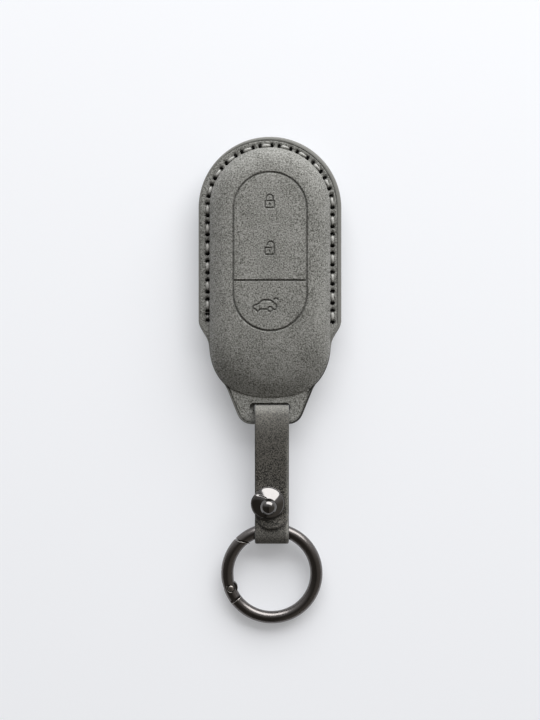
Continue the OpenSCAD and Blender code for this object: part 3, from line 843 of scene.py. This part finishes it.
def strap_section():
    """Section of the strap, as distance across and distance out. Its corners are rounded nearly to a half circle."""
    points = []
    for cx, cz, start in ((1, 1, 0), (-1, 1, 90), (-1, -1, 180), (1, -1, 270)):
        for i in range(7):
            a = radians(start + 90 * i / 6)
            points.append((cx * (half_w - corner) + corner * cos(a), cz * (half_t - corner) + corner * sin(a)))
        if cz == cx:
            points += [(x, cz * half_t) for x in np.linspace(cx * (half_w - corner), -cx * (half_w - corner), 16)[1:-1]]
    return np.array(points)


section = strap_section()
heading = headings(strap_line)
out = np.stack([-heading[:, 1], heading[:, 0]], axis=1)
gone = run_along(strap_line)
shape_at = np.unique(np.concatenate([half_w * (1 - np.cos(np.linspace(0, pi / 2, 22)[1:])),
                                     np.arange(half_w, gone[-1], 0.4), [gone[-1]]]))
strap_rings = []
for s in shape_at:
    u, z = at_run(s, gone, strap_line)
    nu, nz = at_run(s, gone, out)
    wide = sqrt(max(half_w ** 2 - max(half_w - s, 0) ** 2, 0)) / half_w
    thick = min(1.0, sqrt(max(1 - max(1 - s / corner, 0) ** 2, 0.0004)))
    strap_rings.append([(strap_x + a * wide, -(u + b * thick * nu), z + b * thick * nz) for a, b in section])
strap = wrap("strap_leather", strap_rings)
places = get_points(strap)
in_from_side = half_w - np.abs(places[:, 0] - strap_x)
paint(strap, "burnished", 1 - soft_step(0.15, 0.4, in_from_side))
# Painted light: the strap is lighter near its fold over the tab, at the top of its loop and along its right edge, where
# the light falls. Below 5 mm it is a flat 0.2 lighter.
fold_light = np.exp(-np.maximum(-43.5 - places[:, 1], 0) / 7)
loop_light = 0.55 * np.exp(-(np.maximum(places[:, 1] + 86.5, 0) / 4) ** 2)
right_edge_light = 0.75 * np.exp(-((in_from_side - 0.45) / 0.25) ** 4) * (places[:, 0] > strap_x)
right_edge_light *= soft_step(-50, -58, places[:, 1])
paint(strap, "painted_light", np.where(places[:, 2] > 5, fold_light + loop_light + right_edge_light, 0.2))
bpy.ops.mesh.primitive_cylinder_add(vertices=32, radius=1.7 * mm, depth=8 * mm,
                                    location=(stud_x * mm, stud_y * mm, 5 * mm))
cut_out(strap, bpy.context.object, 50)

# %% [markdown]
# ## The collar under the ball
# A thin flared petal of polished metal is wound once round the post and a little further, so one edge lies over the
# other at the upper left. It is a sheet in polar form: for each angle, points from the neck out to the rim. A fine
# rolled edge runs along its free end and its rim.

# %% Collar
collar_c = np.array([-0.65, -74.3])
petal_start, petal_turn = 138.0, 382.0
inner_edge = np.array([  # degrees from the start, radius and height of the edge beside the ball
    (0, 2.2, 10.9), (25, 2.5, 10.8), (50, 2.6, 10.6), (90, 2.5, 10.3), (140, 2.3, 10.05), (200, 2.05, 9.95),
    (345, 2.05, 9.9), (382, 2.05, 9.4)])
rim_edge = np.array([  # the same for the rim
    (0, 5.0, 9.7), (30, 5.35, 9.55), (70, 5.3, 9.1), (130, 5.1, 8.35), (200, 5.25, 7.95),
    (345, 5.15, 7.9), (382, 4.9, 7.6)])
shares_out = (0.0, 0.1, 0.22, 0.36, 0.5, 0.64, 0.76, 0.86, 0.93, 0.975, 1.0)
petal_t, petal_edge_t = 0.24, 0.12
edge_fall, rim_curl, neck_skew = 0.34, 0.2, 46
petal_rings = []
for turned_by in np.concatenate([np.linspace(0, 12, 10), np.linspace(15, petal_turn, 116)]):
    inner_r, inner_z = at_run(turned_by, inner_edge[:, 0], inner_edge[:, 1:])
    rim_r, rim_z = at_run(turned_by, rim_edge[:, 0], rim_edge[:, 1:])
    skew = neck_skew * (1 - ease(min(turned_by / 110, 1)))
    upper, lower = [], []
    for u in shares_out:
        a = radians(petal_start + turned_by - skew * (1 - u) ** 1.5)
        curl = rim_curl * max(0, (u - 0.86) / 0.14) ** 2
        middle = collar_c * u + np.array([stud_x, stud_y]) * (1 - u)
        r = inner_r + (rim_r - inner_r) * u
        h = rim_z + (inner_z - rim_z) * (1 - u) - curl - edge_fall * max(0, 1 - turned_by / 9)
        place = (middle[0] + r * cos(a), middle[1] + r * sin(a))
        upper.append((*place, h))
        lower.append((*place, h - (petal_edge_t if u in (0.0, 1.0) else petal_t)))
    petal_rings.append(upper + lower[::-1])
collar = wrap("flared_collar", petal_rings)
rim = len(shares_out) - 1
free_edge = evenly(petal_rings[0][:rim + 1] + [ring[rim] for ring in petal_rings[1:116]], 150)
free_edge[:, 2] -= 0.08
edge_r = np.interp(np.arange(len(free_edge)), [0, 3, 26, 150], [0.1, 0.16, 0.16, 0.15])
rolled_edge = tube("rolled_edge", free_edge, edge_r, plies=1, clover=0.0)
only(collar)
rolled_edge.select_set(True)
bpy.ops.object.join()
bpy.ops.object.shade_smooth_by_angle(angle=radians(60))
tell(collar)

# %% [markdown]
# ## The step inside the ring's joint
# The gate's nose meets the ring on a wavy line. A thin near-black step stands on the ring's end inside the gap, a
# little below the surface, as painted shade, so the joint reads as a dark line and not as an opening. A sawn edge is
# eased with a file before it is plated, and the small round that this leaves catches the light, so the gate's nose and
# the ring's shoulder at the hinge each get a fine bead along their edge, made in a paler copy of the plate as a painted
# highlight.

# %% Joint's step and eased edges
ring_r, wire_r, nose_gap = 14.5, 2.0, 0.5
ring_middle, ring_tilt = np.array([0.6, -97.592, 3.044]), radians(4.1274)
nose_line = evenly([(137.2, 1.5), (136.4, 1.17), (134, 0.82), (132.8, 0.45), (130.9, 0.17), (129, -0.13),
                    (127.3, -0.43), (124.6, -0.9), (122.5, -1.26)], 60)  # degrees and wire radii


def in_ring_plane(x, y, z):
    """Place of a point given along and over the plane that the ring lies in."""
    return ring_middle + (x, y * cos(ring_tilt) - z * sin(ring_tilt), y * sin(ring_tilt) + z * cos(ring_tilt))


def across_wire(a, share, back=0.0):
    """Place in the ring's plane, at an angle round it and so many wire radii out of the wire's middle."""
    r = ring_r + share * wire_r
    return r * cos(a), r * sin(a) - back


def over_wire(x, y):
    """The place on the wire's upper surface over a point of the ring's plane."""
    off = min(abs(sqrt(x * x + y * y) - ring_r), wire_r - 0.02)
    return in_ring_plane(x, y, sqrt(wire_r ** 2 - off ** 2) - 0.05)


step_rings = []
for a, share in nose_line:
    if abs(share) > 0.8:
        continue
    high = sqrt(1.62 ** 2 - (share * wire_r) ** 2)
    step_rings.append([in_ring_plane(*across_wire(radians(a), share, back), z) for back, z in (
        (0.02, -high), (0.02, high), (nose_gap - 0.05, high), (nose_gap - 0.05, -high))])
joint_shade_step = wrap("joint_shade_step", step_rings)
only(joint_shade_step)
bpy.ops.object.shade_flat()
nose_edge = bead("nose_edge", evenly([over_wire(*across_wire(radians(a), share, nose_gap + 0.05))
                                      for a, share in nose_line if abs(share) < 0.93], 50), 0.1)
shoulder_edge = bead("shoulder_edge", evenly([over_wire(*across_wire(radians(217), share))
                                              for share in np.linspace(-0.93, 0.93, 22)], 30), 0.1)
tell(joint_shade_step, nose_edge, shoulder_edge)

# %% [markdown]
# ## The rivet
# The gate turns on a solid rivet. Both of its heads are set with a cup punch, which leaves a low round dome. The CAD
# solid's dome is flatter than the real one, so the rivet is turned again here on the same line. The dome stands in a
# round seat: its floor is a thin near-black ring, painted shade, and its edge is eased like the others, with the same
# painted highlight.

# %% Rivet
pin_x, pin_y, pin_r = -13.285, -4.574, 0.95
head_r, dome_foot, dome_h = 0.98, 1.85, 0.4
seat_r, seat_hole_r, seat_top, seat_low = 1.22, 0.9, 1.87, 1.853


def on_pin(r, a):
    """Place in the ring's plane, round the middle of the pin."""
    return pin_x + r * cos(a), pin_y + r * sin(a)


def turned(name, profile):
    """A round piece on the pin, turned to a profile of radii and heights."""
    return wrap(name, [[in_ring_plane(*on_pin(r, 2 * pi * k / 40), z) for k in range(40)] for r, z in profile])


half_profile = [(0.02, dome_foot + dome_h)]
half_profile += [(head_r * sin(a), dome_foot + dome_h * cos(a)) for a in np.linspace(0, pi / 2, 9)[1:]]
half_profile.append((pin_r, dome_foot - 0.01))
rivet = turned("domed_rivet", half_profile + [(r, -z) for r, z in half_profile[::-1]])
only(rivet)
bpy.ops.object.shade_smooth_by_angle(angle=radians(50))
# Painted shade: a near-black ring on the seat's floor.
seat_shade = turned("rivet_seat_shade", [(seat_hole_r, seat_top), (seat_r, seat_top), (seat_r, seat_low),
                                   (seat_hole_r, seat_low)])
seat_edge = bead("rivet_seat_edge", [over_wire(*on_pin(seat_r + 0.07, a))
                                     for a in np.linspace(radians(150), radians(290), 30)], 0.08)
tell(rivet, seat_shade, seat_edge)

# %% [markdown]
# ## Finishes
# Nubuck is leather whose grain side is sanded to a short nap. It is matt, has a soft mottle where the nap lies one
# way or the other, and shows fine pores. The colour is mixed from noise at three real sizes, and the same noise
# lifts the surface a little.

# %% Parts of a finish
def noise_of(tree, size, detail, roughness=0.5, where=None):
    """Soft noise with hollows of about this size in millimetres."""
    return add_node(tree, "TexNoise", {"Vector": where or (add_node(tree, "TexCoord"), "Object"),
                                       "Scale": 1 / (size * mm), "Detail": detail, "Roughness": roughness})


def ranged(tree, value, old, new, kind="LINEAR"):
    """Maps a range of values to another range."""
    return add_node(tree, "MapRange", {"Value": value, "From Min": old[0], "From Max": old[1], "To Min": new[0],
                                       "To Max": new[1]}, interpolation_type=kind)


def mixed(tree, factor, a, b, blend="MIX"):
    """Mixes two colours. Each is an sRGB colour or a pair of a node and its output."""
    a, b = (linear(colour) if isinstance(colour, str) else colour for colour in (a, b))
    return add_node(tree, "Mix", {"Factor": factor, "A": a, "B": b}, data_type="RGBA", blend_type=blend)


def painted(tree, name):
    """What was painted on the piece's points under this name."""
    return add_node(tree, "Attribute", attribute_name=name), "Fac"

# %% Nubuck
def nubuck(name, pale, dark, edge, seed, grain, spread, middle=0.47):
    """Sanded leather with a smoother burnished edge. The noise turns from dark to pale within spread of its middle."""
    finish, tree, shader = new_finish(name)
    where = add_node(tree, "TexCoord")
    moved = add_node(tree, "Mapping", {"Vector": (where, "Object"), "Location": [seed, 0, 0]}), "Vector"
    nap = noise_of(tree, grain, 3.0, 0.6, moved)
    cloud = noise_of(tree, 9, 4.0, 0.6, moved)
    pores = add_node(tree, "TexVoronoi", {"Vector": moved, "Scale": 1 / (0.7 * mm), "Randomness": 1.0})
    speck = ranged(tree, (pores, "Distance"), (0.12, 0.36), (-0.14, 0.0), "SMOOTHSTEP")
    broad = ranged(tree, (cloud, "Fac"), (0.3, 0.7), (-0.045, 0.045))
    coarse = add_node(tree, "Math", {0: (nap, "Fac"), 1: (broad, "Result")}, operation="ADD")
    fine = add_node(tree, "Math", {0: (coarse, "Value"), 1: (speck, "Result")}, operation="ADD")
    tone = ranged(tree, (fine, "Value"), (middle - spread, middle + spread), (0.0, 1.0))
    colour = mixed(tree, (tone, "Result"), dark, pale)
    burnished = painted(tree, "burnished")
    edged = mixed(tree, burnished, (colour, "Result"), edge)
    # The painted light that was painted on the strap is added to its colour.
    lighter = mixed(tree, painted(tree, "painted_light"), (edged, "Result"), "6a6a67", "ADD")
    # Painted shade and the darkening of the marks mix the colour towards 262622.
    shade_share = add_node(tree, "Math", {0: painted(tree, "pressed"), 1: 0.6}, operation="MULTIPLY")
    darker = mixed(tree, (shade_share, "Value"), (lighter, "Result"), "262622")
    rough = ranged(tree, burnished, (0.0, 1.0), (0.92, 0.5))
    depth = ranged(tree, burnished, (0.0, 1.0), (0.6, 0.1))
    lift = add_node(tree, "Bump", {"Height": (fine, "Value"), "Strength": (depth, "Result"), "Distance": 0.22 * mm})
    plug(shader, {"Base Color": (darker, "Result"), "Roughness": (rough, "Result"), "Normal": (lift, "Normal"),
                  "Specular IOR Level": 0.25, "Sheen Weight": 0.12, "Sheen Roughness": 0.5})
    return finish


cover_leather = nubuck("grey_nubuck_leather", "9b9b97", "45453f", "757571", 0.0, 0.46, 0.165)
strap_finish = nubuck("dark_strap_nubuck", "67645e", "040403", "2a2926", 0.3, 0.38, 0.11, middle=0.5)
print(cover_leather.name, "and", strap_finish.name)

# %% Cloth, thread and metal
def brushed_cloth():
    """Black microfibre: very matt, with a faint nap."""
    finish, tree, shader = new_finish("black_microfibre")
    fuzz = noise_of(tree, 0.5, 3.0)
    colour = mixed(tree, (fuzz, "Fac"), "171717", "2c2c2b")
    lift = add_node(tree, "Bump", {"Height": (fuzz, "Fac"), "Distance": 0.1 * mm})
    plug(shader, {"Base Color": (colour, "Result"), "Normal": (lift, "Normal"), "Roughness": 0.95})
    return finish


def waxed_thread():
    """Bonded polyester thread, light grey with a little wax."""
    finish, tree, shader = new_finish("light_grey_waxed_thread")
    fibre = noise_of(tree, 0.3, 2.0)
    colour = mixed(tree, (fibre, "Fac"), "868683", "cfcfca")
    # Painted shade inside the holes darkens the thread towards 1c1c1a.
    shaded = mixed(tree, painted(tree, "deep"), (colour, "Result"), "1c1c1a")
    plug(shader, {"Base Color": (shaded, "Result"), "Roughness": 0.55})
    return finish


def plated(name, dark, pale, smooth, rough, brush):
    """Polished or satin plate over metal, with faint handling marks."""
    finish, tree, shader = new_finish(name)
    haze = noise_of(tree, brush, 4.0, 0.6)
    wear = ranged(tree, (haze, "Fac"), (0.3, 0.7), (smooth, rough))
    shade = mixed(tree, (haze, "Fac"), dark, pale)
    plug(shader, {"Base Color": (shade, "Result"), "Roughness": (wear, "Result"), "Metallic": 1.0})
    return finish


lining_finish = brushed_cloth()
thread_finish = waxed_thread()
black_nickel = plated("black_nickel_plate", "656362", "706e6d", 0.07, 0.12, 2.0)
ring_plate = plated("satin_gunmetal_plate", "686564", "736f6d", 0.24, 0.28, 4.0)
pin_plate = plated("dark_plated_steel", "8d8884", "99948f", 0.3, 0.38, 1.0)
# A paler copy of the plate for the eased edges is a painted highlight, and the near-black steel for the joint's step
# and the rivet's seat is painted shade.
highlight_plate = plated("painted_highlight_plate", "b3afab", "c3bfbb", 0.35, 0.42, 1.0)
painted_shade_steel = plated("painted_shade_steel_finish", "161514", "1f1e1d", 0.5, 0.6, 1.0)
spring_steel = plated("spring_steel", "a9a9a9", "c2c2c2", 0.25, 0.4, 1.0)
print(len(bpy.data.materials), "materials")

# %% [markdown]
# ## Dressing the frame
# The soft solids, the collar and the rivet are replaced, and the joint's step and the rivet's seat, both painted shade,
# and the eased edges, whose paler plate is a painted highlight, are added. The ball, the screw, the ring, its gate and
# its spring have the right shape already, so they keep their solids and only get a better finish.

# %% Put each piece on its body
def dress(piece, body, node, finish):
    piece.data.materials.clear()
    piece.data.materials.append(finish)
    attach(piece, body)
    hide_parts(node)


dress(front_shell, "cover", "front_shell", cover_leather)
dress(back_shell, "cover", "back_shell", cover_leather)
dress(linings[0], "cover", "front_lining", lining_finish)
dress(linings[1], "cover", "back_lining", lining_finish)
dress(thread, "cover", "seam_thread", thread_finish)
dress(strap, "strap", "strap", strap_finish)
dress(collar, "strap", "stud_collar", black_nickel)
dress(rivet, "gate", "gate_pin", pin_plate)
for extra, body, finish in ((joint_shade_step, "ring", painted_shade_steel), (seat_shade, "gate", painted_shade_steel),
                            (nose_edge, "gate", highlight_plate), (shoulder_edge, "ring", highlight_plate),
                            (seat_edge, "gate", highlight_plate)):
    extra.data.materials.append(finish)
    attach(extra, body)
for node, finish in (("stud_ball", black_nickel), ("stud_screw", black_nickel), ("ring_body", ring_plate),
                     ("ring_gate", ring_plate), ("gate_spring", spring_steel)):
    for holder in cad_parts[node].material_slots:
        holder.material = finish
